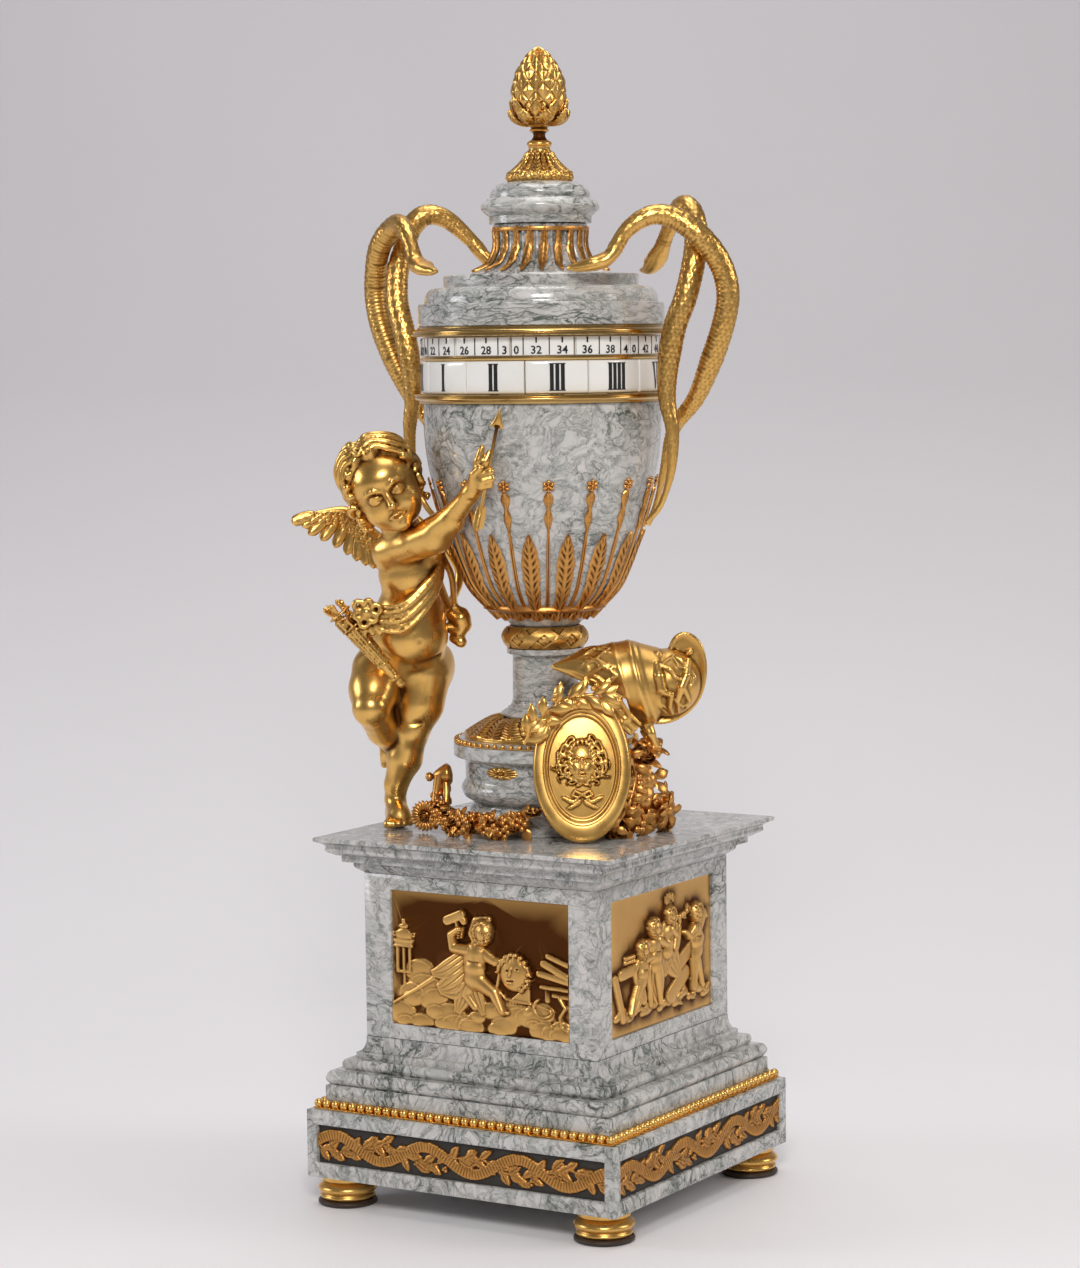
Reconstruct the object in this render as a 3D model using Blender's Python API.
"""Vase clock on a square plinth, with turning dial rings, snake handles, a child figure and a trophy.

Metres, +Z up. The origin is on the floor under the plinth's centre. The front is -Y.
"""
import math

import bmesh
import bpy
from mathutils import Matrix, Vector

# Gap kept between pieces that touch
GAP = 0.0003

# Feet
FOOT_RADIUS = 0.0235
FOOT_HEIGHT = 0.0178
PAD_THICKNESS = 0.0045
FOOT_INSET = 0.0225

# Plinth, in half widths and heights
BLOCK_HALF = 0.1390
BLOCK_HEIGHT = 0.0535
FRIEZE_MARGIN = 0.0090
FRIEZE_HEIGHT = 0.0305
FRIEZE_DEPTH = 0.0050
FRIEZE_RELIEF = 0.0042
BEAD_RADIUS = 0.0036
STEP_HALF = 0.1280
STEP_HEIGHT = 0.0180
BIG_TORUS_HEIGHT = 0.0110
SMALL_TORUS_HEIGHT = 0.0085
SMALL_TORUS_HALF = 0.1186
COVE_HEIGHT = 0.0172
DIE_HALF = 0.1045
DIE_HEIGHT = 0.1290
PANEL_HALF_WIDTH = 0.0805
PANEL_HEIGHT = 0.1055
PANEL_DEPTH = 0.0040
PANEL_RELIEF = 0.0060
CORNICE_HEIGHT = 0.0290
SLAB_HALF = 0.1330

# Vase stand
DRUM_RADIUS = 0.0730
DRUM_HEIGHT = 0.0722
DRUM_BEAD_RADIUS = 0.0018
DOME_HEIGHT = 0.0145
DOME_RADIUS = 0.0646
DOME_TOP_RADIUS = 0.0380
COLUMN_RADIUS = 0.0262
COLUMN_HEIGHT = 0.0550
COLLAR_RADIUS = 0.0346
COLLAR_HEIGHT = 0.0170

# Urn
URN_RADIUS = 0.0929
URN_HEIGHT = 0.1745
URN_FOOT_RADIUS = 0.0255
URN_WALL = 0.0090
MOUNT_THICKNESS = 0.0018
LEAF_COUNT = 16
LEAF_TIP = 0.0750
STEM_TIP = 0.1175
# Outer profile of the marble urn, as shares of its height with their radii
URN_PROFILE = (
    (0.0, 0.0255), (0.04, 0.0350), (0.10, 0.0455), (0.17, 0.0570), (0.28, 0.0668),
    (0.43, 0.0760), (0.56, 0.0829), (0.73, 0.0902), (0.88, URN_RADIUS), (1.0, URN_RADIUS),
)

# Dial
DIAL_RING_RADIUS = 0.1000
DIAL_RING_HEIGHT = 0.0073
TOP_RING_RADIUS = 0.1020
SLEEVE_RADIUS = 0.0908
SLEEVE_WALL = 0.0030
RING_CLEARANCE = 0.0006
BAND_RADIUS = 0.0948
HOUR_BAND_HEIGHT = 0.0247
MINUTE_BAND_HEIGHT = 0.0147
DIVIDER_HEIGHT = 0.0026

# Shoulder and lid
SHOULDER_RADIUS = 0.0961
SHOULDER_HEIGHT = 0.0395
SHOULDER_WALL = 0.0120
NECK_RADIUS = 0.0365
NECK_HEIGHT = 0.0392
NECK_FOOT_RADIUS = 0.0572
# Outer profile of the lid's neck, as shares of its height with their radii
NECK_PROFILE = (
    (0.0, NECK_FOOT_RADIUS), (0.18, 0.0440), (0.42, 0.0378), (1.0, NECK_RADIUS),
)
FLUTE_COUNT = 20
FLUTE_DEPTH = 0.0022
HUSK_THICKNESS = 0.0016
CAP_RADIUS = 0.0463
CAP_HEIGHT = 0.0325
ACANTHUS_RADIUS = 0.0255
ACANTHUS_HEIGHT = 0.0240
STEM_RADIUS = 0.0098
STEM_HEIGHT = 0.0190
CONE_RADIUS = 0.0212
CONE_HEIGHT = 0.0600

# Snakes
SNAKE_RADIUS = 0.0086
SNAKE_SIDES = 6

# Figure and trophy, which face this way, counted from -Y towards +X
FACING = math.radians(31.2)
FIGURE_HEIGHT = 0.3110
FIGURE_RIGHT = -0.1180
FIGURE_TOWARD = -0.0140
SHIELD_HALF_WIDTH = 0.0375
SHIELD_HALF_HEIGHT = 0.0575
SHIELD_THICKNESS = 0.0060
SHIELD_TILT = math.radians(12.0)
SHIELD_RIGHT = 0.0270
SHIELD_TOWARD = 0.0870
HELMET_RADIUS = 0.0280
HELMET_RIGHT = 0.0930
HELMET_TOWARD = 0.0440
HELMET_UP = 0.1130
FRUIT_RADIUS = 0.0110
FRUIT_RIGHT = 0.0720
FRUIT_TOWARD = 0.0500
FLOWER_RADIUS = 0.0085

# Numbers of sides of the turned pieces
SIDES_LARGE = 20
SIDES_MEDIUM = 14
SIDES_SMALL = 8

# Heights of the pieces above the floor, from the feet up
Z_FOOT = PAD_THICKNESS + GAP
Z_BLOCK = Z_FOOT + FOOT_HEIGHT + GAP
Z_STEPS = Z_BLOCK + BLOCK_HEIGHT + GAP
STEPS_HEIGHT = STEP_HEIGHT + BIG_TORUS_HEIGHT + SMALL_TORUS_HEIGHT + COVE_HEIGHT
Z_DIE = Z_STEPS + STEPS_HEIGHT + GAP
Z_CORNICE = Z_DIE + DIE_HEIGHT + GAP
Z_SLAB = Z_CORNICE + CORNICE_HEIGHT
Z_DRUM = Z_SLAB + GAP
Z_DOME = Z_DRUM + DRUM_HEIGHT + GAP
Z_COLUMN = Z_DOME + DOME_HEIGHT + GAP
Z_COLLAR = Z_COLUMN + COLUMN_HEIGHT + GAP
Z_URN = Z_COLLAR + COLLAR_HEIGHT + GAP
Z_LOWER_RING = Z_URN + URN_HEIGHT + GAP
Z_SLEEVE = Z_LOWER_RING + DIAL_RING_HEIGHT + GAP
Z_HOUR = Z_LOWER_RING + DIAL_RING_HEIGHT + RING_CLEARANCE
Z_DIVIDER = Z_HOUR + HOUR_BAND_HEIGHT + RING_CLEARANCE
Z_MINUTE = Z_DIVIDER + DIVIDER_HEIGHT + RING_CLEARANCE
Z_UPPER_RING = Z_MINUTE + MINUTE_BAND_HEIGHT + RING_CLEARANCE
SLEEVE_HEIGHT = Z_UPPER_RING - GAP - Z_SLEEVE
Z_SHOULDER = Z_UPPER_RING + DIAL_RING_HEIGHT + GAP
Z_NECK = Z_SHOULDER + SHOULDER_HEIGHT + GAP
Z_CAP = Z_NECK + NECK_HEIGHT + GAP
Z_ACANTHUS = Z_CAP + CAP_HEIGHT + GAP
Z_STEM = Z_ACANTHUS + ACANTHUS_HEIGHT + GAP
Z_CONE = Z_STEM + STEM_HEIGHT + GAP

MATERIALS = {
    "marble": ((0.60, 0.61, 0.58), 0.25, 0.0),
    "satin_gilt": ((0.80, 0.55, 0.22), 0.38, 1.0),
    "red_gilt": ((0.68, 0.38, 0.15), 0.42, 1.0),
    "enamel": ((0.93, 0.92, 0.88), 0.15, 0.0),
    "brass": ((0.62, 0.47, 0.22), 0.25, 1.0),
    "dark_pad": ((0.08, 0.05, 0.03), 0.60, 0.0),
}


def clear_scene():
    for old in list(bpy.data.objects):
        bpy.data.objects.remove(old, do_unlink=True)


def material(kind):
    found = bpy.data.materials.get(kind)
    if found:
        return found
    colour, roughness, metallic = MATERIALS[kind]
    made = bpy.data.materials.new(kind)
    made.use_nodes = True
    shader = made.node_tree.nodes["Principled BSDF"]
    shader.inputs["Base Color"].default_value = (*colour, 1.0)
    shader.inputs["Roughness"].default_value = roughness
    shader.inputs["Metallic"].default_value = metallic
    made.diffuse_color = (*colour, 1.0)
    return made


def to_object(name, bm, kind, smooth=True):
    """Close a bmesh off into a named object with its material."""
    bmesh.ops.recalc_face_normals(bm, faces=bm.faces)
    mesh = bpy.data.meshes.new(name)
    bm.to_mesh(mesh)
    bm.free()
    made = bpy.data.objects.new(name, mesh)
    bpy.context.collection.objects.link(made)
    mesh.materials.append(material(kind))
    if smooth:
        mesh.shade_smooth()
        mesh.set_sharp_from_angle(angle=math.radians(40))
    return made


def ring_loop(bm, radius_at, z, sides, turn=0.0):
    """One level of a turned piece. A radius of nothing gives a single point."""
    if radius_at(0.0) <= 0.0:
        return [bm.verts.new((0.0, 0.0, z))]
    loop = []
    for i in range(sides):
        a = 2 * math.pi * i / sides + turn
        r = radius_at(a)
        loop.append(bm.verts.new((r * math.cos(a), r * math.sin(a), z)))
    return loop


def join_loops(bm, one, two):
    """Faces between two levels, either of which may be a point."""
    count = max(len(one), len(two))
    for i in range(count):
        j = (i + 1) % count
        if len(one) == 1:
            bm.faces.new((one[0], two[i], two[j]))
        elif len(two) == 1:
            bm.faces.new((one[i], two[0], one[j]))
        else:
            bm.faces.new((one[i], two[i], two[j], one[j]))


def turned(name, profile, sides, kind, ripple=None, closed_ring=False):
    """A lathe piece. The profile runs upward as (radius, height) pairs, and ripple varies it by angle."""
    bm = bmesh.new()
    loops = []
    for level, (r, z) in enumerate(profile):
        def radius_at(a, r=r, level=level):
            return r * (ripple(a, level) if ripple and r > 0 else 1.0)
        loops.append(ring_loop(bm, radius_at, z, sides))
    for one, two in zip(loops, loops[1:]):
        join_loops(bm, one, two)
    if closed_ring:
        join_loops(bm, loops[-1], loops[0])
    else:
        if len(loops[0]) > 1:
            bm.faces.new(loops[0])
        if len(loops[-1]) > 1:
            bm.faces.new(loops[-1])
    return to_object(name, bm, kind)


def turned_ring(name, inner, outer, z_low, z_high, sides, kind, rim=()):
    """A ring of rectangular section, whose outer wall may carry rim points between its edges."""
    profile = [(inner, z_low), (outer, z_low), *rim, (outer, z_high), (inner, z_high)]
    return turned(name, profile, sides, kind, closed_ring=True)


def squared(name, profile, kind):
    """A square block built up from (half width, height) levels."""
    bm = bmesh.new()
    loops = []
    for half, z in profile:
        corners = ((-half, -half), (half, -half), (half, half), (-half, half))
        loops.append([bm.verts.new((x, y, z)) for x, y in corners])
    for one, two in zip(loops, loops[1:]):
        join_loops(bm, one, two)
    bm.faces.new(loops[0])
    bm.faces.new(loops[-1])
    return to_object(name, bm, kind, smooth=False)


def arc_levels(r_low, r_high, z_low, z_high, steps, bulge):
    """Points of a moulding between two heights, bulging out (positive) or hollow (negative)."""
    points = []
    for i in range(steps + 1):
        t = i / steps
        r = r_low + (r_high - r_low) * t + bulge * math.sin(math.pi * t)
        points.append((r, z_low + (z_high - z_low) * t))
    return points


def cut(target, cutter):
    cutter.hide_render = True
    cutter.display_type = "WIRE"
    change = target.modifiers.new("cut_" + cutter.name, "BOOLEAN")
    change.operation = "DIFFERENCE"
    change.object = cutter


def box_bmesh(size, centre):
    bm = bmesh.new()
    bmesh.ops.create_cube(bm, size=1.0)
    bmesh.ops.scale(bm, vec=size, verts=bm.verts)
    bmesh.ops.translate(bm, vec=centre, verts=bm.verts)
    return bm


# The four sides of the plinth: front, right, back and left
SIDE_TURNS = {"front": 0.0, "right": math.pi / 2, "back": math.pi, "left": -math.pi / 2}


def turn_object(made, angle):
    made.data.transform(Matrix.Rotation(angle, 4, "Z"))
    return made


def relief_plate(name, half_width, z_low, z_high, face_y, depth, columns, rows, height_at, kind):
    """A plate on the -Y side whose outer face carries a relief. height_at takes shares -1..1 and 0..1."""
    bm = bmesh.new()
    back_y = face_y + depth
    front = []
    for j in range(rows + 1):
        line = []
        for i in range(columns + 1):
            u = -1 + 2 * i / columns
            v = j / rows
            edge = i in (0, columns) or j in (0, rows)
            lift = 0.0 if edge else height_at(u, v)
            point = (u * half_width, face_y - lift, z_low + v * (z_high - z_low))
            line.append(bm.verts.new(point))
        front.append(line)
    for j in range(rows):
        for i in range(columns):
            a, b = front[j][i], front[j][i + 1]
            c, d = front[j + 1][i + 1], front[j + 1][i]
            bm.faces.new((a, b, c, d))
    rim = front[0][:] + [line[-1] for line in front[1:]]
    rim += front[-1][-2::-1] + [line[0] for line in front[-2:0:-1]]
    corners = [(-half_width, z_low), (half_width, z_low), (half_width, z_high), (-half_width, z_high)]
    back = [bm.verts.new((x, back_y, z)) for x, z in corners]
    marks = [0, columns, columns + rows, 2 * columns + rows, len(rim)]
    for side in range(4):
        stretch = [rim[k % len(rim)] for k in range(marks[side], marks[side + 1] + 1)]
        bm.faces.new((*stretch, back[(side + 1) % 4], back[side]))
    bm.faces.new(back)
    bmesh.ops.triangulate(bm, faces=bm.faces)
    return to_object(name, bm, kind)


def feet():
    place = BLOCK_HALF - FOOT_INSET
    corners = ((-1, -1, "front_left"), (1, -1, "front_right"), (1, 1, "back_right"), (-1, 1, "back_left"))
    for sx, sy, corner in corners:
        groove = FOOT_RADIUS * 0.93
        profile = [
            (FOOT_RADIUS * 0.90, Z_FOOT),
            (FOOT_RADIUS, Z_FOOT + FOOT_HEIGHT * 0.30),
            (groove, Z_FOOT + FOOT_HEIGHT * 0.72),
            (FOOT_RADIUS * 0.85, Z_FOOT + FOOT_HEIGHT),
        ]
        foot = turned("foot_" + corner, profile, SIDES_SMALL, "satin_gilt")
        pad_profile = [(FOOT_RADIUS, 0.0), (FOOT_RADIUS, PAD_THICKNESS)]
        pad = turned("foot_pad_" + corner, pad_profile, SIDES_SMALL, "dark_pad")
        for piece in (foot, pad):
            piece.data.transform(Matrix.Translation((sx * place, sy * place, 0.0)))


def base_block():
    top = Z_BLOCK + BLOCK_HEIGHT
    block = squared("base_block", [(BLOCK_HALF, Z_BLOCK), (BLOCK_HALF, top)], "marble")
    middle = Z_BLOCK + BLOCK_HEIGHT / 2
    opening = 2 * (BLOCK_HALF - FRIEZE_MARGIN)
    for side, angle in SIDE_TURNS.items():
        size = (opening, 2 * FRIEZE_DEPTH, FRIEZE_HEIGHT)
        bm = box_bmesh(size, (0.0, -BLOCK_HALF, middle))
        cutter = turn_object(to_object("frieze_cutter_" + side, bm, "marble"), angle)
        cut(block, cutter)


def ribbon_wave(u, v):
    """Lift of the frieze: a pleated ribbon that waves between leaf sprays."""
    wave = 0.5 + 0.36 * math.sin(3 * math.pi * u)
    ribbon = max(0.0, 1 - abs(v - wave) * 2.8)
    leaves = max(0.0, 1 - abs(v - 1 + wave) * 3.4) * (0.6 + 0.4 * math.cos(15 * math.pi * u))
    return FRIEZE_RELIEF * (0.15 + 0.85 * max(ribbon, leaves))


def friezes():
    middle = Z_BLOCK + BLOCK_HEIGHT / 2
    half_width = BLOCK_HALF - FRIEZE_MARGIN - GAP
    half_height = FRIEZE_HEIGHT / 2 - GAP
    face_y = -BLOCK_HALF + FRIEZE_RELIEF
    depth = FRIEZE_DEPTH - FRIEZE_RELIEF - GAP
    for side, angle in SIDE_TURNS.items():
        plate = relief_plate(
            "frieze_" + side, half_width, middle - half_height, middle + half_height,
            face_y, depth, 16, 2, ribbon_wave, "red_gilt",
        )
        turn_object(plate, angle)


def bead_border():
    """The rail that carries the bead string round the step. Its beads are finer relief."""
    inner = STEP_HALF + GAP
    z = Z_BLOCK + BLOCK_HEIGHT + GAP
    outer = inner + 2 * BEAD_RADIUS
    section = (
        (inner, z), (outer - BEAD_RADIUS * 0.5, z), (outer, z + BEAD_RADIUS),
        (outer - BEAD_RADIUS * 0.5, z + BEAD_RADIUS * 1.9), (inner, z + BEAD_RADIUS * 1.9),
    )
    bm = bmesh.new()
    loops = []
    for half, level in section:
        corners = ((-half, -half), (half, -half), (half, half), (-half, half))
        loops.append([bm.verts.new((x, y, level)) for x, y in corners])
    for one, two in zip(loops, loops[1:] + loops[:1]):
        join_loops(bm, one, two)
    return to_object("bead_border", bm, "red_gilt", smooth=False)


def plinth_steps():
    z = Z_STEPS
    levels = [(STEP_HALF, z), (STEP_HALF, z + STEP_HEIGHT)]
    z += STEP_HEIGHT
    levels += arc_levels(STEP_HALF - 0.0025, STEP_HALF - 0.0025, z, z + BIG_TORUS_HEIGHT, 4, 0.0024)
    z += BIG_TORUS_HEIGHT
    small = SMALL_TORUS_HALF - 0.0015
    levels += arc_levels(small, small, z, z + SMALL_TORUS_HEIGHT, 4, 0.0015)
    z += SMALL_TORUS_HEIGHT
    cove = DIE_HALF + 0.0060
    levels += [(cove, z), (cove, z + COVE_HEIGHT * 0.30)]
    levels += [(DIE_HALF + 0.0016, z + COVE_HEIGHT * 0.62), (DIE_HALF, z + COVE_HEIGHT)]
    squared("plinth_steps", levels, "marble")


def die():
    block = squared("plinth_die", [(DIE_HALF, Z_DIE), (DIE_HALF, Z_DIE + DIE_HEIGHT)], "marble")
    middle = Z_DIE + DIE_HEIGHT / 2
    for side, angle in SIDE_TURNS.items():
        size = (2 * PANEL_HALF_WIDTH, 2 * PANEL_DEPTH, PANEL_HEIGHT)
        bm = box_bmesh(size, (0.0, -DIE_HALF, middle))
        cutter = turn_object(to_object("panel_cutter_" + side, bm, "marble"), angle)
        cut(block, cutter)


def mound(u, v, at_u, at_v, wide, high, lift):
    """A soft rounded swelling on a relief."""
    d = ((u - at_u) / wide) ** 2 + ((v - at_v) / high) ** 2
    return lift * math.sqrt(1 - d) if d < 1 else 0.0


def workshop_relief(u, v):
    """Seated child at work between an altar and piled books, on clouds."""
    parts = [
        mound(u, v, 0.02, 0.80, 0.17, 0.14, 1.0),
        mound(u, v, 0.00, 0.52, 0.22, 0.26, 1.0),
        mound(u, v, 0.05, 0.24, 0.30, 0.16, 0.9),
        mound(u, v, 0.36, 0.46, 0.22, 0.18, 0.9),
        mound(u, v, -0.24, 0.70, 0.14, 0.16, 0.6),
        mound(u, v, -0.84, 0.74, 0.15, 0.14, 0.7),
        mound(u, v, -0.84, 0.42, 0.13, 0.24, 0.5),
        mound(u, v, 0.80, 0.42, 0.22, 0.18, 0.6),
        mound(u, v, -0.45, 0.18, 0.50, 0.22, 0.5),
        mound(u, v, 0.55, 0.16, 0.50, 0.18, 0.5),
    ]
    return PANEL_RELIEF * max(0.03, *parts)


def dancers_relief(u, v):
    """Three children with a garland."""
    parts = [mound(u, v, 0.66, 0.40, 0.12, 0.34, 0.9), mound(u, v, 0.64, 0.78, 0.12, 0.13, 1.0)]
    for at, lean in ((-0.55, 0.05), (-0.10, 0.0)):
        parts.append(mound(u, v, at, 0.36, 0.20, 0.36, 0.9))
        parts.append(mound(u, v, at + lean, 0.74, 0.15, 0.14, 1.0))
    parts.append(mound(u, v, 0.30, 0.80, 0.26, 0.16, 0.6))
    parts.append(mound(u, v, 0.0, 0.08, 0.95, 0.12, 0.5))
    return PANEL_RELIEF * max(0.03, *parts)


def wreath_relief(u, v):
    """An oval wreath, for the sides that face a wall."""
    r = math.hypot(u / 0.62, (v - 0.5) / 0.36)
    return PANEL_RELIEF * max(0.03, 0.6 - abs(r - 1) * 2.2)


def relief_panels():
    middle = Z_DIE + DIE_HEIGHT / 2
    half_width = PANEL_HALF_WIDTH - GAP
    half_height = PANEL_HEIGHT / 2 - GAP
    face_y = -DIE_HALF + PANEL_DEPTH * 0.5
    depth = PANEL_DEPTH * 0.5 - GAP
    designs = {
        "front": (workshop_relief, 12, 8),
        "right": (dancers_relief, 12, 7),
        "back": (wreath_relief, 6, 4),
        "left": (wreath_relief, 6, 4),
    }
    for side, (design, columns, rows) in designs.items():
        plate = relief_plate(
            "relief_" + side, half_width, middle - half_height, middle + half_height,
            face_y, depth, columns, rows, design, "satin_gilt",
        )
        turn_object(plate, SIDE_TURNS[side])


def cornice():
    z = Z_CORNICE
    h = CORNICE_HEIGHT
    levels = [(DIE_HALF, z)]
    levels += arc_levels(DIE_HALF + 0.0005, DIE_HALF + 0.0060, z + h * 0.02, z + h * 0.28, 3, 0.0012)
    fillet = SLAB_HALF - 0.0160
    levels += [(fillet, z + h * 0.33), (fillet, z + h * 0.47)]
    levels += arc_levels(SLAB_HALF - 0.0110, SLAB_HALF - 0.0048, z + h * 0.55, z + h * 0.84, 3, -0.0012)
    levels += [(SLAB_HALF - 0.0006, z + h * 0.89), (SLAB_HALF, z + h * 0.92), (SLAB_HALF, z + h)]
    squared("cornice", levels, "marble")


def pedestal():
    z = Z_DRUM
    r = DRUM_RADIUS
    h = DRUM_HEIGHT
    profile = [
        (r - 0.0125, z),
        (r - 0.0125, z + h * 0.24),
        (r - 0.0150, z + h * 0.32),
        (r - 0.0062, z + h * 0.43),
        (r - 0.0085, z + h * 0.60),
        (r - 0.0085, z + h * 0.76),
        (r, z + h * 0.83),
        (r, z + h * 0.95),
        (r - 0.0040, z + h * 0.95),
        (r - 0.0040, z + h),
    ]
    turned("pedestal_drum", profile, SIDES_LARGE, "marble")
    ledge = z + h * 0.95 + GAP
    bead_high = 2 * DRUM_BEAD_RADIUS - GAP
    inner = r - 0.0040 + GAP
    turned_ring("drum_bead_ring", inner, r, ledge, ledge + bead_high, SIDES_LARGE, "red_gilt")
    for number, angle in enumerate((-90, 0, 90, 180), start=1):
        plate = patera("patera_%d" % number)
        turn_object(plate, math.radians(angle) + FACING - math.radians(33))


def patera(name):
    """An oval leaf boss, proud of the drum's recess on its -Y side."""
    bm = bmesh.new()
    wide = 0.0150
    high = 0.0052
    back_y = -(DRUM_RADIUS - 0.0085) - GAP
    z = Z_DRUM + DRUM_HEIGHT * 0.68
    rim = []
    for i in range(8):
        a = 2 * math.pi * i / 8
        lobe = 1.0 if i % 2 == 0 else 0.86
        x = wide * lobe * math.cos(a)
        rim.append((x, z + high * lobe * math.sin(a)))
    back = [bm.verts.new((x, back_y, zz)) for x, zz in rim]
    front = [bm.verts.new((x * 0.95, back_y - 0.0022, z + (zz - z) * 0.95)) for x, zz in rim]
    join_loops(bm, back, front)
    bm.faces.new(back)
    join_loops(bm, front, [bm.verts.new((0.0, back_y - 0.0050, z))])
    return to_object(name, bm, "red_gilt")


def leaf_dome():
    def lobes(a, level):
        return 1.0 + (0.035 * math.cos(SIDES_LARGE / 2 * a) if level == 1 else 0.0)
    z = Z_DOME
    profile = [
        (DOME_RADIUS * 0.97, z),
        (DOME_RADIUS * 0.965, z + DOME_HEIGHT * 0.22),
        (DOME_RADIUS * 0.82, z + DOME_HEIGHT * 0.62),
        (DOME_TOP_RADIUS, z + DOME_HEIGHT),
    ]
    turned("leaf_dome", profile, SIDES_LARGE, "red_gilt", ripple=lobes)


def column():
    z = Z_COLUMN
    h = COLUMN_HEIGHT
    r = COLUMN_RADIUS
    foot = DOME_TOP_RADIUS - 0.0030
    profile = [(foot - 0.0020, z)]
    profile += [(foot, z + h * 0.07), (foot - 0.0020, z + h * 0.14)]
    profile += [(r + 0.0018, z + h * 0.22), (r, z + h * 0.50), (r - 0.0006, z + h * 0.84)]
    profile += [(r + 0.0040, z + h * 0.93), (r + 0.0040, z + h)]
    turned("column", profile, SIDES_MEDIUM, "marble")


def collar():
    z = Z_COLLAR
    h = COLLAR_HEIGHT
    profile = [
        (COLLAR_RADIUS - 0.0085, z),
        (COLLAR_RADIUS - 0.0015, z + h * 0.18),
        (COLLAR_RADIUS, z + h * 0.45),
        (COLLAR_RADIUS - 0.0020, z + h * 0.74),
        (URN_FOOT_RADIUS, z + h),
    ]
    turned("ribboned_collar", profile, SIDES_MEDIUM, "satin_gilt")


def between(levels, t):
    """Value at t on a broken line of (share, value) points."""
    for (t0, v0), (t1, v1) in zip(levels, levels[1:]):
        if t <= t1:
            return v0 + (v1 - v0) * (t - t0) / (t1 - t0)
    return levels[-1][1]


def urn_radius(t):
    """Outer radius of the marble urn at a share t of its height."""
    return between(URN_PROFILE, t)


def urn():
    outer = [(r, Z_URN + URN_HEIGHT * t) for t, r in URN_PROFILE]
    inner = [(urn_radius(t) - URN_WALL, Z_URN + URN_HEIGHT * t) for t in (1.0, 0.73, 0.43, 0.20)]
    floor = Z_URN + URN_HEIGHT * 0.10
    turned("urn_body", outer + inner + [(0.0, floor)], SIDES_LARGE, "marble")


def towers(name, count, section, kind, root, edge):
    """A ring of standing or hanging tongues that grow out of one band.

    root and edge are the band's rims as (inner radius, outer radius, height), and the tongues
    grow from the root. section(k) gives the levels of tongue k as (share of its slot's width,
    inner radius, outer radius, height, lean).
    """
    bm = bmesh.new()
    near = {}
    far = {}
    for k in range(count):
        a = 2 * math.pi * (k - 0.5) / count
        for rim, (r_in, r_out, z) in ((near, root), (far, edge)):
            for label, r in (("in", r_in), ("out", r_out)):
                rim[label, k] = bm.verts.new((r * math.cos(a), r * math.sin(a), z))
    for k in range(count):
        n = (k + 1) % count
        bm.faces.new((near["out", k], near["out", n], far["out", n], far["out", k]))
        bm.faces.new((near["in", k], near["in", n], far["in", n], far["in", k]))
        bm.faces.new((far["out", k], far["out", n], far["in", n], far["in", k]))
        level = [near["in", k], near["out", k], near["out", n], near["in", n]]
        middle = 2 * math.pi * k / count
        half = math.pi / count
        for share, r_in, r_out, z, lean in section(k):
            new = []
            for r, side in ((r_in, -1), (r_out, -1), (r_out, 1), (r_in, 1)):
                a = middle + lean + side * half * share
                new.append(bm.verts.new((r * math.cos(a), r * math.sin(a), z)))
            join_loops(bm, level, new)
            level = new
        bm.faces.new(level)
    return to_object(name, bm, kind)


def leaf_crown():
    """Leaves and flower stems in turn, standing round the urn on one band."""
    chord = math.cos(math.pi / (2 * LEAF_COUNT))
    leaf_tip = LEAF_TIP / URN_HEIGHT
    stem_tip = STEM_TIP / URN_HEIGHT
    leaf = ((0.17, 0.62), (0.28, 1.02), (leaf_tip, 0.10))
    stem = ((0.17, 0.15), (0.28, 0.13), (0.43, 0.13), (stem_tip, 0.50))

    def rim(t):
        skin = urn_radius(t) / chord + GAP
        return skin, skin + MOUNT_THICKNESS, Z_URN + t * URN_HEIGHT

    def section(k):
        outline = leaf if k % 2 == 0 else stem
        return [(width, *rim(t), 0.0) for t, width in outline]

    towers("leaf_crown", 2 * LEAF_COUNT, section, "red_gilt", rim(0.10), rim(0.04))


def dial():
    lower_in = URN_RADIUS - URN_WALL
    z = Z_LOWER_RING
    turned_ring("lower_dial_ring", lower_in, DIAL_RING_RADIUS, z, z + DIAL_RING_HEIGHT, SIDES_LARGE, "brass")
    sleeve_in = SLEEVE_RADIUS - SLEEVE_WALL
    turned_ring(
        "dial_sleeve", sleeve_in, SLEEVE_RADIUS, Z_SLEEVE, Z_SLEEVE + SLEEVE_HEIGHT, SIDES_LARGE, "brass"
    )
    running = (SLEEVE_RADIUS + RING_CLEARANCE) / math.cos(math.pi / SIDES_LARGE)
    turned_ring(
        "hour_ring", running, BAND_RADIUS, Z_HOUR, Z_HOUR + HOUR_BAND_HEIGHT, SIDES_LARGE, "enamel"
    )
    turned_ring(
        "dial_divider", SLEEVE_RADIUS + GAP, BAND_RADIUS - 0.0004,
        Z_DIVIDER, Z_DIVIDER + DIVIDER_HEIGHT, SIDES_LARGE, "brass",
    )
    turned_ring(
        "minute_ring", running, BAND_RADIUS - 0.0004,
        Z_MINUTE, Z_MINUTE + MINUTE_BAND_HEIGHT, SIDES_LARGE, "enamel",
    )
    z = Z_UPPER_RING
    turned_ring("upper_dial_ring", lower_in, TOP_RING_RADIUS, z, z + DIAL_RING_HEIGHT, SIDES_LARGE, "brass")


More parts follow.
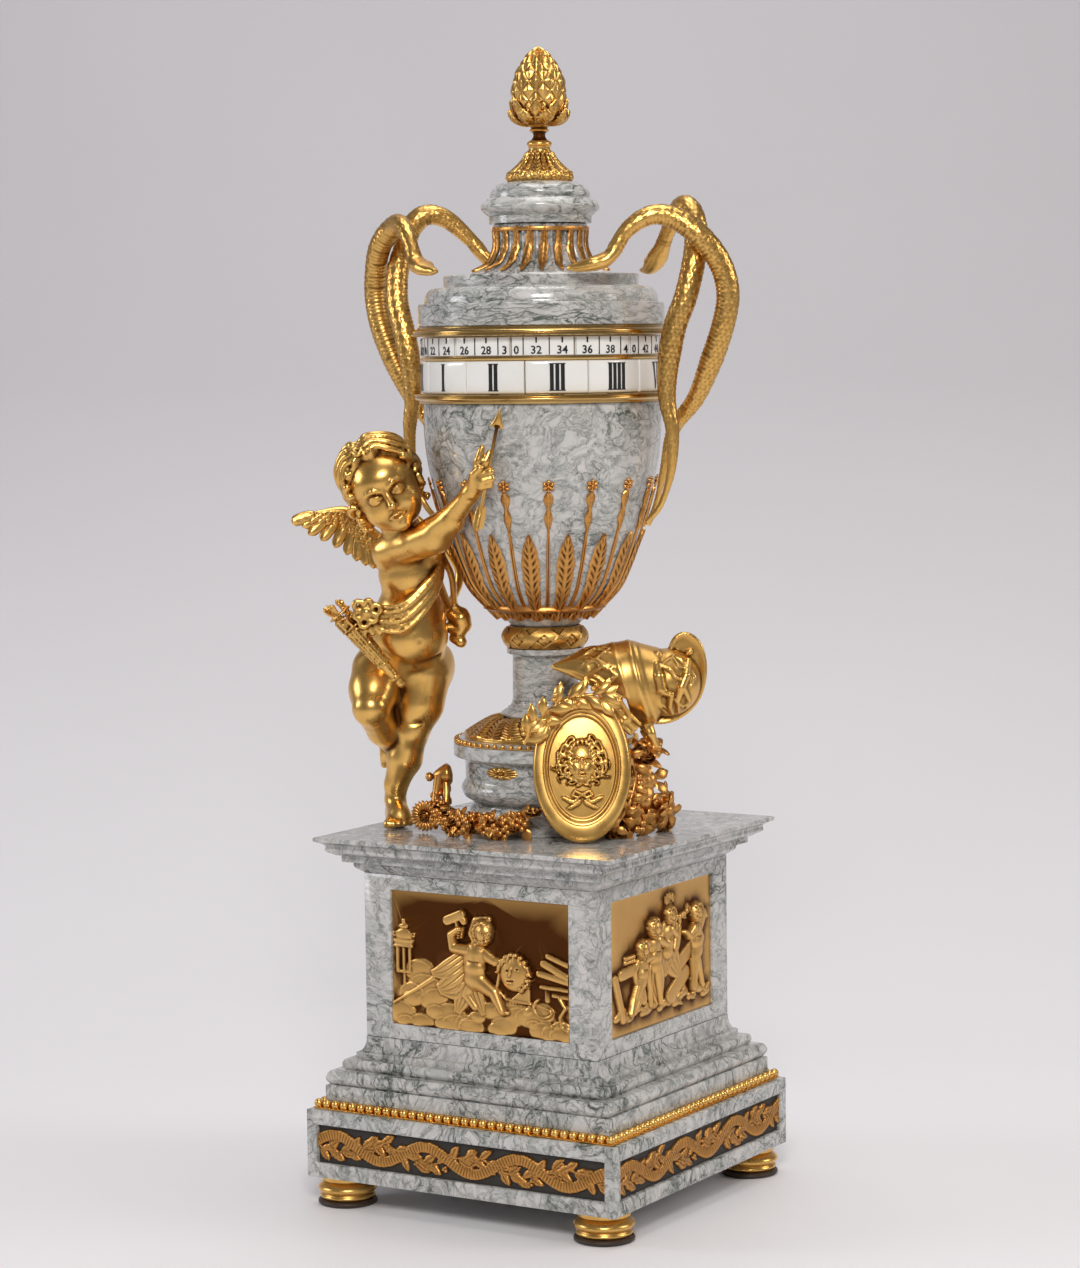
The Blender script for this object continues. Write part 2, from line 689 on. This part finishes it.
def shoulder():
    z = Z_SHOULDER
    h = SHOULDER_HEIGHT
    r = SHOULDER_RADIUS
    outer = [(r, z), (r, z + h * 0.45), (r - 0.0050, z + h * 0.49)]
    outer += [(r - 0.0105, z + h * 0.75)]
    outer += [(r - 0.0200, z + h * 0.79), (r - 0.0200, z + h)]
    inner = [(NECK_RADIUS, z + h), (NECK_RADIUS, z + h - SHOULDER_WALL)]
    inner += [(r - SHOULDER_WALL, z + h * 0.50), (r - SHOULDER_WALL, z)]
    turned("shoulder", outer + inner, SIDES_LARGE, "marble", closed_ring=True)


def lid_neck():
    flutes = 2 * FLUTE_COUNT

    def groove(a, level):
        k = round(a / (2 * math.pi / flutes))
        deep = FLUTE_DEPTH / NECK_RADIUS if k % 2 == 0 else 0.0
        return 1.0 - deep

    profile = [(r, Z_NECK + NECK_HEIGHT * t) for t, r in NECK_PROFILE]
    turned("lid_neck", profile, flutes, "marble", ripple=groove)

    def rim(t):
        skin = between(NECK_PROFILE, t) + GAP * 1.5
        return skin, skin + HUSK_THICKNESS, Z_NECK + NECK_HEIGHT * t

    def section(k):
        step = math.pi / FLUTE_COUNT
        return [(0.34, *rim(t), -sweep * step) for t, sweep in ((0.42, 0.0), (0.18, 0.25), (0.05, 0.60))]

    towers("husk_crown", FLUTE_COUNT, section, "red_gilt", rim(0.86), rim(0.93))


def lid_cap():
    z = Z_CAP
    h = CAP_HEIGHT
    r = CAP_RADIUS
    profile = [(r - 0.0062, z), (r - 0.0062, z + h * 0.18)]
    profile += arc_levels(r - 0.0045, r - 0.0045, z + h * 0.20, z + h * 0.60, 3, 0.0050)
    profile += [(r - 0.0073, z + h * 0.62), (r - 0.0073, z + h * 0.72)]
    profile += [(r - 0.0150, z + h * 0.80), (ACANTHUS_RADIUS - 0.0010, z + h)]
    turned("lid_cap", profile, SIDES_MEDIUM, "marble")


def finial():
    leaves = 16

    def lobes(a, level):
        k = round(a / (2 * math.pi / leaves))
        return 1.0 if k % 2 == 0 else (0.80, 0.90, 0.94, 1.0)[min(level, 3)]

    z = Z_ACANTHUS
    h = ACANTHUS_HEIGHT
    r = ACANTHUS_RADIUS
    profile = [(r, z), (r * 0.98, z + h * 0.30), (r * 0.86, z + h * 0.74), (r * 0.42, z + h)]
    turned("acanthus_collar", profile, leaves, "red_gilt", ripple=lobes)

    z = Z_STEM
    h = STEM_HEIGHT
    r = STEM_RADIUS
    profile = [(r, z), (r * 0.66, z + h * 0.45), (r * 0.66, z + h * 0.72), (r * 0.96, z + h * 0.84), (r * 0.96, z + h)]
    turned("finial_stem", profile, SIDES_SMALL, "satin_gilt")

    def scales(a, level):
        k = round(a / (2 * math.pi / SIDES_SMALL))
        return 1.0 if (k + level) % 2 == 0 else 0.92

    z = Z_CONE
    h = CONE_HEIGHT
    r = CONE_RADIUS
    profile = [
        (r * 0.45, z),
        (r * 0.92, z + h * 0.10),
        (r * 1.10, z + h * 0.34),
        (r * 0.97, z + h * 0.46),
        (r * 0.90, z + h * 0.64),
        (r * 0.66, z + h * 0.80),
        (r * 0.34, z + h * 0.92),
        (0.0, z + h),
    ]
    turned("pine_cone", profile, SIDES_SMALL, "satin_gilt", ripple=scales)


def smooth_path(points, count):
    """Evenly spread points of a smooth curve through the given ones."""
    dense = []
    padded = [points[0] * 2 - points[1], *points, points[-1] * 2 - points[-2]]
    for i in range(len(points) - 1):
        p0, p1, p2, p3 = padded[i:i + 4]
        for step in range(12):
            t = step / 12
            a = p1 * 2 + (p2 - p0) * t
            b = (p0 * 2 - p1 * 5 + p2 * 4 - p3) * t * t
            c = (p1 * 3 - p0 - p2 * 3 + p3) * t * t * t
            dense.append((a + b + c) / 2)
    dense.append(points[-1])
    lengths = [0.0]
    for one, two in zip(dense, dense[1:]):
        lengths.append(lengths[-1] + (two - one).length)
    even = []
    for i in range(count):
        want = lengths[-1] * i / (count - 1)
        k = next(n for n in range(1, len(lengths)) if lengths[n] >= want - 1e-9)
        span = lengths[k] - lengths[k - 1]
        even.append(dense[k - 1].lerp(dense[k], (want - lengths[k - 1]) / span))
    return even


def tube(bm, path, radius_at, sides):
    """A closed tube along a path. radius_at takes the share of the way along."""
    across = Vector((0.0, 1.0, 0.0))
    previous = None
    for i, point in enumerate(path):
        ahead = path[min(i + 1, len(path) - 1)]
        behind = path[max(i - 1, 0)]
        along = (ahead - behind).normalized()
        across = (across - along * across.dot(along)).normalized()
        up = along.cross(across)
        r = radius_at(i / (len(path) - 1))
        loop = []
        for k in range(sides):
            a = 2 * math.pi * k / sides
            loop.append(bm.verts.new(point + across * r * math.cos(a) + up * r * math.sin(a)))
        if previous:
            join_loops(bm, previous, loop)
        else:
            bm.faces.new(loop)
        previous = loop
    bm.faces.new(previous)


# Routes of the right handle's two snakes from snout to tail: across and along the case as shares of
# the shoulder's radius, then a level that is 0 at the urn's foot, 1 at its rim, 2 at the shoulder's
# foot and 3 at the shoulder's top
FRONT_SNAKE = (
    (0.6139, -0.6139, 3.0810), (0.7492, -0.5411, 3.1316), (0.9053, -0.4579, 3.2835), (1.0302, -0.3850, 3.7899),
    (1.1863, -0.2706, 4.0684), (1.3424, -0.1561, 3.9924), (1.5193, -0.0728, 3.6380), (1.6337, 0.0312, 3.1316),
    (1.6701, 0.0832, 2.5494), (1.6129, 0.0937, 1.9446), (1.4776, 0.1145, 1.4413), (1.3424, 0.1353, 1.0386),
    (1.1446, 0.1249, 0.8756), (1.0614, 0.1145, 0.6980), (0.9886, 0.1145, 0.5490), (0.9105, 0.1145, 0.4573),
)
BACK_SNAKE = (
    (0.5827, 0.6243, 3.0810), (0.7076, 0.5619, 3.1316), (0.8325, 0.4891, 3.4101), (0.9469, 0.4162, 3.7899),
    (1.1030, 0.3018, 4.1949), (1.2383, 0.1977, 4.2709), (1.3424, 0.1353, 4.0177), (1.3840, 0.0937, 3.6127),
    (1.3996, 0.0104, 3.1063), (1.3632, -0.0520, 2.4987), (1.2799, -0.0832, 1.9446), (1.2175, -0.0832, 1.4581),
    (1.2071, -0.0832, 1.0386), (1.2487, -0.0728, 0.8756), (1.2279, -0.0624, 0.7037), (1.1342, -0.0624, 0.5547),
    (1.0094, -0.0728, 0.4745),
)


def level_height(level):
    """Height above the floor of a level of the vase."""
    rim = Z_URN + URN_HEIGHT
    if level < 1:
        return Z_URN + URN_HEIGHT * level
    if level < 2:
        return rim + (Z_SHOULDER - rim) * (level - 1)
    return Z_SHOULDER + SHOULDER_HEIGHT * (level - 2)


def snake_girth(t):
    """Radius along a snake: a flat head, a thin neck, a full body and a long tail."""
    if t < 0.03:
        return SNAKE_RADIUS * 0.45
    if t < 0.09:
        return SNAKE_RADIUS * 0.80
    if t < 0.14:
        return SNAKE_RADIUS * 0.68
    body = min(1.0, 0.68 + (t - 0.14) * 2.2)
    tail = max(0.30, min(1.0, (1.03 - t) / 0.42))
    return SNAKE_RADIUS * min(body, tail)


def handles():
    for side, mirror in (("right", 1), ("left", -1)):
        for which, route in (("front", FRONT_SNAKE), ("back", BACK_SNAKE)):
            wide = SHOULDER_RADIUS
            points = [Vector((x * wide * mirror, y * wide, level_height(z))) for x, y, z in route]
            bm = bmesh.new()
            tube(bm, smooth_path(points, 19), snake_girth, SNAKE_SIDES)
            to_object("snake_%s_%s" % (side, which), bm, "satin_gilt")


def view_axes():
    """Directions to the right of, towards and above someone who faces the figure."""
    right = Vector((math.cos(FACING), math.sin(FACING), 0.0))
    toward = Vector((math.sin(FACING), -math.cos(FACING), 0.0))
    return right, toward, Vector((0.0, 0.0, 1.0))


def place(right, toward, up):
    r, t, u = view_axes()
    return r * right + t * toward + u * up


def capsule(bm, start, end, r_start, r_end):
    """A limb: a short tapered tube between two rounded ends."""
    axis = end - start
    for centre, r in ((start, r_start), (end, r_end)):
        bmesh.ops.create_uvsphere(bm, u_segments=14, v_segments=9, radius=r, matrix=Matrix.Translation(centre))
    turn = axis.to_track_quat("Z", "Y").to_matrix().to_4x4()
    middle = Matrix.Translation((start + end) / 2) @ turn
    bmesh.ops.create_cone(
        bm, cap_ends=True, segments=14, radius1=r_start, radius2=r_end, depth=axis.length, matrix=middle
    )


def ball(bm, centre, radii, turn=None):
    """An ellipsoid whose radii run right, toward and up, before an optional turn."""
    r, t, u = view_axes()
    frame = Matrix((r, t, u)).transposed().to_4x4()
    shape = Matrix.Diagonal((*radii, 1.0))
    swing = turn.to_4x4() if turn else Matrix.Identity(4)
    matrix = Matrix.Translation(centre) @ frame @ swing @ shape
    bmesh.ops.create_uvsphere(bm, u_segments=16, v_segments=10, radius=1.0, matrix=matrix)


def keep_largest(bm):
    """Drop the crumbs that thinning can leave beside the one closed form."""
    left = set(bm.verts)
    bodies = []
    while left:
        first = left.pop()
        body = {first}
        edge = [first]
        while edge:
            here = edge.pop()
            for link in here.link_edges:
                there = link.other_vert(here)
                if there in left:
                    left.remove(there)
                    body.add(there)
                    edge.append(there)
        bodies.append(body)
    bodies.sort(key=len)
    crumbs = [v for body in bodies[:-1] for v in body]
    bmesh.ops.delete(bm, geom=crumbs, context="VERTS")


def melt(name, bm, kind, voxel, faces_kept, smoothing=3, floor=None):
    """Fuse loose shapes into one closed form, soften it, thin its mesh and cut it flat at the floor."""
    raw = to_object(name + "_raw", bm, kind)
    remesh = raw.modifiers.new("fuse", "REMESH")
    remesh.mode = "VOXEL"
    remesh.voxel_size = voxel
    soften = raw.modifiers.new("soften", "SMOOTH")
    soften.iterations = smoothing
    seen = raw.evaluated_get(bpy.context.evaluated_depsgraph_get())
    count = len(seen.data.polygons) * 2
    thin = raw.modifiers.new("thin", "DECIMATE")
    thin.ratio = min(1.0, faces_kept / count)
    seen = raw.evaluated_get(bpy.context.evaluated_depsgraph_get())
    mesh = bpy.data.meshes.new_from_object(seen)
    bpy.data.objects.remove(raw, do_unlink=True)
    done = bmesh.new()
    done.from_mesh(mesh)
    bpy.data.meshes.remove(mesh)
    if floor is not None:
        geometry = done.verts[:] + done.edges[:] + done.faces[:]
        bmesh.ops.bisect_plane(
            done, geom=geometry, dist=1e-5, plane_co=(0, 0, floor), plane_no=(0, 0, -1), clear_outer=True
        )
        edges = [e for e in done.edges if e.is_boundary]
        bmesh.ops.holes_fill(done, edges=edges)
    keep_largest(done)
    bmesh.ops.triangulate(done, faces=done.faces)
    return to_object(name, done, kind)


# The figure's joints as shares of its height: to the right, towards the viewer and up from its foot
JOINTS = {
    "ankle": (-0.003, -0.030, 0.062),
    "toes": (0.006, 0.040, 0.022),
    "knee": (0.044, 0.006, 0.230),
    "hip": (0.090, -0.006, 0.395),
    "other_hip": (-0.042, -0.006, 0.400),
    "other_knee": (-0.060, 0.085, 0.302),
    "other_ankle": (-0.020, -0.095, 0.190),
    "other_toes": (-0.026, -0.105, 0.128),
    "pelvis": (0.024, -0.006, 0.428),
    "belly": (0.042, 0.045, 0.507),
    "chest": (0.052, 0.077, 0.668),
    "shoulder": (-0.010, 0.090, 0.715),
    "elbow": (0.110, 0.215, 0.750),
    "wrist": (0.209, 0.328, 0.872),
    "hand": (0.238, 0.358, 0.912),
    "other_shoulder": (0.088, 0.100, 0.718),
    "other_elbow": (0.060, -0.110, 0.640),
    "other_hand": (0.100, -0.110, 0.545),
    "neck": (0.026, 0.115, 0.755),
    "head": (-0.010, 0.165, 0.868),
    "chin": (0.014, 0.208, 0.785),
    "wing_root": (0.004, 0.024, 0.680),
    "wing_bend": (-0.140, -0.030, 0.785),
    "wing_tip": (-0.215, 0.010, 0.765),
    "other_wing_root": (0.060, 0.020, 0.690),
    "other_wing_bend": (0.010, -0.170, 0.800),
    "other_wing_tip": (-0.030, -0.245, 0.770),
    "quiver_top": (-0.140, 0.125, 0.560),
    "quiver_foot": (0.020, 0.125, 0.372),
    "knot": (-0.062, 0.120, 0.565),
    "other_knot": (0.166, 0.010, 0.500),
    "sash_high": (0.128, 0.085, 0.665),
    "bow_high": (0.040, -0.165, 0.820),
    "bow_mid": (0.120, -0.130, 0.640),
    "bow_low": (0.112, -0.112, 0.500),
}


def joint(name):
    right, toward, up = JOINTS[name]
    return place(
        FIGURE_RIGHT + right * FIGURE_HEIGHT,
        FIGURE_TOWARD + toward * FIGURE_HEIGHT,
        Z_SLAB + GAP + up * FIGURE_HEIGHT,
    )


def wing_shapes(bm, prefix):
    """A wing of overlapping feathers that fan down from its leading edge."""
    h = FIGURE_HEIGHT
    root = joint(prefix + "wing_root")
    bend = joint(prefix + "wing_bend")
    tip = joint(prefix + "wing_tip")
    capsule(bm, root, bend, h * 0.024, h * 0.018)
    capsule(bm, bend, tip, h * 0.018, h * 0.012)
    for i in range(6):
        t = i / 5
        top = root.lerp(bend, t) if t < 1 else bend
        drop = Vector((0.0, 0.0, -h * (0.115 - 0.045 * t)))
        out = (tip - root).normalized() * h * 0.055
        capsule(bm, top, top + drop + out, h * 0.020, h * 0.013)
    capsule(bm, bend, tip + Vector((0, 0, -h * 0.045)), h * 0.018, h * 0.012)


def cupid():
    h = FIGURE_HEIGHT
    bm = bmesh.new()
    limbs = (
        ("toes", "ankle", 0.030, 0.036), ("ankle", "knee", 0.036, 0.054), ("knee", "hip", 0.056, 0.082),
        ("other_knee", "other_hip", 0.064, 0.082), ("other_knee", "other_ankle", 0.056, 0.032),
        ("other_ankle", "other_toes", 0.030, 0.022), ("pelvis", "belly", 0.088, 0.082),
        ("belly", "chest", 0.080, 0.070), ("shoulder", "elbow", 0.042, 0.034), ("elbow", "wrist", 0.034, 0.021),
        ("wrist", "hand", 0.022, 0.028), ("other_shoulder", "other_elbow", 0.038, 0.030),
        ("other_elbow", "other_hand", 0.032, 0.026), ("neck", "head", 0.045, 0.060),
        ("shoulder", "other_shoulder", 0.044, 0.038), ("quiver_top", "quiver_foot", 0.030, 0.018),
        ("knot", "belly", 0.030, 0.020), ("knot", "sash_high", 0.016, 0.016),
        ("other_knot", "pelvis", 0.022, 0.030), ("bow_high", "bow_mid", 0.011, 0.012),
        ("bow_mid", "bow_low", 0.012, 0.011),
    )
    for start, end, r_start, r_end in limbs:
        capsule(bm, joint(start), joint(end), h * r_start, h * r_end)
    ball(bm, joint("pelvis"), (h * 0.118, h * 0.086, h * 0.080))
    ball(bm, joint("belly"), (h * 0.090, h * 0.086, h * 0.100))
    ball(bm, joint("chest"), (h * 0.084, h * 0.072, h * 0.085))
    ball(bm, joint("head"), (h * 0.094, h * 0.096, h * 0.100))
    ball(bm, joint("chin"), (h * 0.050, h * 0.050, h * 0.048))
    head = joint("head")
    right, toward, up = view_axes()
    for i in range(9):
        a = math.radians(-30 + 240 * i / 8)
        lock = head + (right * math.cos(a) * 1.00 + up * math.sin(a) * 0.98) * h * 0.088 - toward * h * 0.005
        ball(bm, lock, (h * 0.028, h * 0.044, h * 0.030))
    wing_shapes(bm, "")
    wing_shapes(bm, "other_")
    melt("cupid", bm, "satin_gilt", h * 0.0095, 1020, floor=Z_SLAB + GAP)


# The arrow's ends from the hand, as shares of the figure's height to the right, towards the viewer and up
ARROW_TAIL = (-0.0210, -0.0075, -0.1413)
ARROW_TIP = (0.0398, 0.0262, 0.1546)
ARROW_RADIUS = 0.0013
HAND_HALF = 0.0402 * FIGURE_HEIGHT


def arrow():
    """The arrow is pushed into the fist from both ends, and shows as two stretches."""
    h = FIGURE_HEIGHT
    hand = joint("hand")
    tail = hand + place(*ARROW_TAIL) * h
    tip = hand + place(*ARROW_TIP) * h
    along = (tip - tail).normalized()
    middle = (hand - tail).dot(along)
    upper_start = tail + along * (middle + HAND_HALF)
    barb = tip - along * h * 0.0386
    bm = bmesh.new()
    levels = ((upper_start, 1.0), (barb, 1.0), (barb + along * h * 0.0032, 3.4), (tip, 0.3))
    level_tube(bm, levels, along)
    to_object("arrow_head", bm, "satin_gilt")
    lower_end = tail + along * (middle - HAND_HALF)
    bm = bmesh.new()
    feathered = along * h * 0.058
    levels = ((tail, 3.6), (tail + feathered, 3.6), (tail + feathered * 1.16, 1.0), (lower_end, 1.0))
    level_tube(bm, levels, along)
    to_object("arrow_tail", bm, "satin_gilt")


def level_tube(bm, levels, along):
    across = along.orthogonal().normalized()
    up = along.cross(across)
    previous = None
    for point, share in levels:
        r = ARROW_RADIUS * share
        loop = []
        for k in range(6):
            a = 2 * math.pi * k / 6
            loop.append(bm.verts.new(point + across * r * math.cos(a) + up * r * math.sin(a)))
        if previous:
            join_loops(bm, previous, loop)
        else:
            bm.faces.new(loop)
        previous = loop
    bm.faces.new(previous)


def shield():
    """A domed oval with a raised rim, leaning back, with a head in relief."""
    right, toward, up = view_axes()
    normal = toward * math.cos(SHIELD_TILT) + up * math.sin(SHIELD_TILT)
    rise = normal.cross(right) * -1
    if rise.z < 0:
        rise = rise * -1
    low = Z_SLAB + GAP + SHIELD_HALF_HEIGHT * math.cos(SHIELD_TILT) + SHIELD_THICKNESS * math.sin(SHIELD_TILT)
    centre = place(SHIELD_RIGHT, SHIELD_TOWARD, low)
    levels = (
        (0.92, -SHIELD_THICKNESS), (1.0, -SHIELD_THICKNESS * 0.55), (1.0, -SHIELD_THICKNESS * 0.1), (0.88, SHIELD_THICKNESS * 0.17),
        (0.82, SHIELD_THICKNESS * 0.37), (0.78, SHIELD_THICKNESS * 0.07), (0.60, SHIELD_THICKNESS * 0.23),
    )
    bm = bmesh.new()
    loops = []
    for share, lift in levels:
        loop = []
        for i in range(SIDES_MEDIUM):
            a = 2 * math.pi * i / SIDES_MEDIUM
            flat = right * SHIELD_HALF_WIDTH * share * math.cos(a) + rise * SHIELD_HALF_HEIGHT * share * math.sin(a)
            loop.append(bm.verts.new(centre + flat + normal * lift))
        loops.append(loop)
    for one, two in zip(loops, loops[1:]):
        join_loops(bm, one, two)
    bm.faces.new(loops[0])
    last = loops[-1]
    inner = []
    for i in range(SIDES_MEDIUM):
        a = 2 * math.pi * i / SIDES_MEDIUM
        lift = SHIELD_THICKNESS * (1.17 if i % 2 == 0 else 0.83)
        flat = right * SHIELD_HALF_WIDTH * 0.42 * math.cos(a) + rise * SHIELD_HALF_HEIGHT * 0.42 * math.sin(a)
        inner.append(bm.verts.new(centre + flat + normal * lift))
    join_loops(bm, last, inner)
    join_loops(bm, inner, [bm.verts.new(centre + normal * SHIELD_THICKNESS * 1.58)])
    to_object("shield", bm, "satin_gilt")


def helmet():
    """A crested helmet that lies on its side over the shield, with its brow pointing left."""
    r = HELMET_RADIUS
    centre = place(HELMET_RIGHT, HELMET_TOWARD, Z_SLAB + HELMET_UP)
    bm = bmesh.new()
    ball(bm, centre, (r * 1.0, r * 0.92, r * 1.10))
    ball(bm, centre + place(0.482, 0.0, 0.143) * r, (r * 1.02, r * 0.24, r * 1.16))
    curl = centre + place(0.482, 0.0, 1.179) * r
    ball(bm, curl, (r * 0.30, r * 0.22, r * 0.30))
    brow = centre + place(-3.036, 0.429, 0.464) * r
    for height in (-0.357, 0.143, 0.643):
        start = centre + place(-0.536, 0.0, height) * r
        capsule(bm, start, brow, r * 0.50, r * 0.10)
    guard = centre + place(-0.357, 0.0, -0.786) * r
    capsule(bm, guard, centre + place(-0.929, 0.143, -1.214) * r, r * 0.30, r * 0.12)
    melt("helmet", bm, "satin_gilt", r * 0.093, 240)


def fruit_cluster():
    """Berries, blossoms and leaves heaped on the slab at the right, which carry the helmet."""
    bm = bmesh.new()
    s = FRUIT_RADIUS
    heap = (
        (-1.818, 1.273, 0.909, 1.000), (-0.545, 0.545, 0.909, 1.000), (0.727, -0.364, 0.909, 1.000),
        (1.455, -1.818, 0.909, 0.909), (-1.091, 1.091, 2.364, 1.000), (0.182, 0.000, 2.364, 1.091),
        (1.273, -1.091, 2.182, 0.909), (-0.727, 0.727, 3.818, 1.000), (0.545, -0.364, 3.818, 1.000),
        (0.000, 0.000, 5.273, 0.909), (0.727, -0.727, 6.000, 0.818), (1.818, -0.545, 1.636, 0.818),
    )
    for right, toward, up, r in heap:
        where = place(FRUIT_RIGHT + right * s, FRUIT_TOWARD + toward * s, Z_SLAB + up * s)
        ball(bm, where, (r * s, r * s, r * s))
    melt("fruit_cluster", bm, "red_gilt", s * 0.255, 220, smoothing=1, floor=Z_SLAB + GAP)


def round_drum(x, y, z):
    """A place by the drum: across and towards the viewer in drum radii, and up in flower radii."""
    return place(x * DRUM_RADIUS, y * DRUM_RADIUS, Z_SLAB + z * FLOWER_RADIUS)


def garland():
    """A swag of flowers that hangs from a boss and lies in front of the drum."""
    bm = bmesh.new()
    s = FLOWER_RADIUS
    swag = (
        (-1.1507, 0.1918, 2.1176), (-1.1233, 0.3562, 1.4118), (-1.0137, 0.5479, 1.1176),
        (-0.8493, 0.7123, 1.0588), (-0.6301, 0.8493, 1.0353), (-0.4110, 0.9315, 1.1176),
        (-0.1918, 0.9795, 1.5294),
    )
    path = smooth_path([round_drum(*point) for point in swag], 12)
    for i, point in enumerate(path):
        r = s if i % 2 == 0 else s * 0.82
        ball(bm, point, (r, r, r))
    for one, two in zip(path, path[1:]):
        capsule(bm, one, two, s * 0.65, s * 0.65)
    bell = round_drum(-1.0959, 0.0822, 5.0588)
    capsule(bm, bell, bell + place(-0.94, 0.0, -0.12) * s, s, s * 0.35)
    ball(bm, bell + place(-1.41, 0.0, -0.18) * s, (s * 0.38, s * 0.38, s * 0.38))
    capsule(bm, bell, round_drum(-1.0959, 0.2192, 2.1176), s * 0.49, s * 0.54)
    capsule(bm, bell + place(-0.59, 0.47, 0.0) * s, round_drum(-1.2055, 0.2055, 2.1176), s * 0.47, s * 0.54)
    ball(bm, round_drum(-1.3082, 0.2740, 1.4706), (s * 1.44, s * 0.71, s * 1.44))
    melt("flower_garland", bm, "red_gilt", s * 0.282, 280, smoothing=1, floor=Z_SLAB + GAP)


clear_scene()
feet()
base_block()
friezes()
bead_border()
plinth_steps()
die()
relief_panels()
cornice()
pedestal()
leaf_dome()
column()
collar()
urn()
leaf_crown()
dial()
shoulder()
lid_neck()
lid_cap()
finial()
handles()
cupid()
arrow()
shield()
helmet()
fruit_cluster()
garland()
